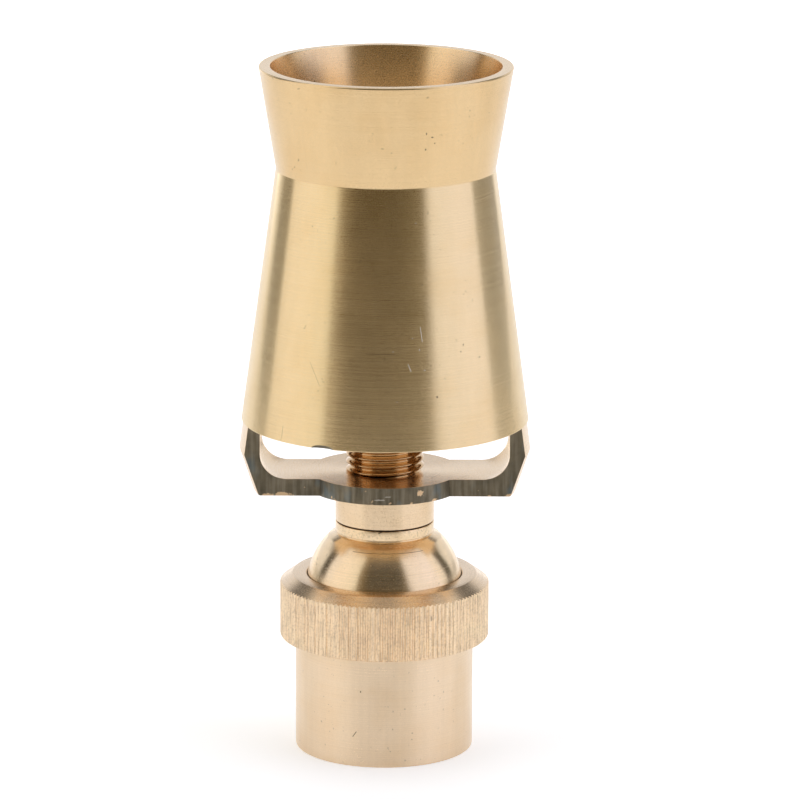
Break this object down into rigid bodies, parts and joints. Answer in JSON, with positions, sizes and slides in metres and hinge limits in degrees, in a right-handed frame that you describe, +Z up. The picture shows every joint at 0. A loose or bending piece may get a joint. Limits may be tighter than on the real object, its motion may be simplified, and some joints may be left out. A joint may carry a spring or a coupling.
{
  "type": "fountain nozzle",
  "caption": "Brass cascade fountain nozzle: an open waisted sleeve on a two-armed bracket screws along a threaded stem, which tilts on a ball joint held by a knurled nut.",
  "frame": {"origin": "centre of the inlet socket's bottom face, on the nozzle's axis", "axes": "+Z up along the nozzle's axis towards the sleeve's mouth, bracket arms along +X and -X"},
  "size_m": [0.0508, 0.05, 0.1216],
  "materials": {
    "turned_brass": "fine-turned bright brass with faint circular tool lines",
    "bracket_brass": "dark grey-green tarnished cast flanks, bright turned faces",
    "polished_brass": "polished turned ball",
    "knurled_brass": "satin, straight knurl",
    "satin_brass": "satin turned",
    "threaded_brass": "bright cut thread",
    "seat_plastic": "smooth white",
    "seal_rubber": "matt black",
    "washer_fibre": "thin dark fibre"
  },
  "bodies": {
    "inlet": {"inlet_socket": "satin_brass", "seat_o_ring": "seal_rubber"},
    "seat": {"lower_seat_ring": "seat_plastic"},
    "ball": {"swivel_ball": "polished_brass", "stem_gasket": "seal_rubber", "riser_stem": "threaded_brass", "jet_head": "threaded_brass"},
    "nut_ring": {"upper_friction_ring": "seat_plastic"},
    "nut": {"clamp_nut": "knurled_brass"},
    "hub_ring": {"hub_washer": "washer_fibre"},
    "sleeve": {"sleeve_bracket": "bracket_brass", "outer_sleeve": "turned_brass"}
  },
  "joints": [
    {"name": "ball_azimuth", "type": "hinge", "parent": "inlet", "child": "seat", "pos_m": [0, 0, 0.0283], "axis": [0, 0, 1], "continuous": true},
    {"name": "ball_tilt", "type": "hinge", "parent": "seat", "child": "ball", "pos_m": [0, 0, 0.0283], "axis": [1, 0, 0], "range_deg": [-20, 20]},
    {"name": "sleeve_rise", "type": "slide", "parent": "ball", "child": "hub_ring", "axis": [0, 0, 1], "range_m": [0, 0.00535]},
    {"name": "sleeve_turn", "type": "hinge", "parent": "hub_ring", "child": "sleeve", "pos_m": [0, 0, 0.0283], "axis": [0, 0, 1], "range_deg": [0, 1440]},
    {"name": "nut_rise", "type": "slide", "parent": "inlet", "child": "nut_ring", "axis": [0, 0, 1], "range_m": [0, 0.0045]},
    {"name": "nut_turn", "type": "hinge", "parent": "nut_ring", "child": "nut", "pos_m": [0, 0, 0.0283], "axis": [0, 0, 1], "range_deg": [0, 1080]}
  ],
  "couplings": [
    {"joint": "sleeve_turn", "follows": "sleeve_rise", "rad_per_m": 4699.5},
    {"joint": "nut_turn", "follows": "nut_rise", "rad_per_m": 4188.8}
  ]
}
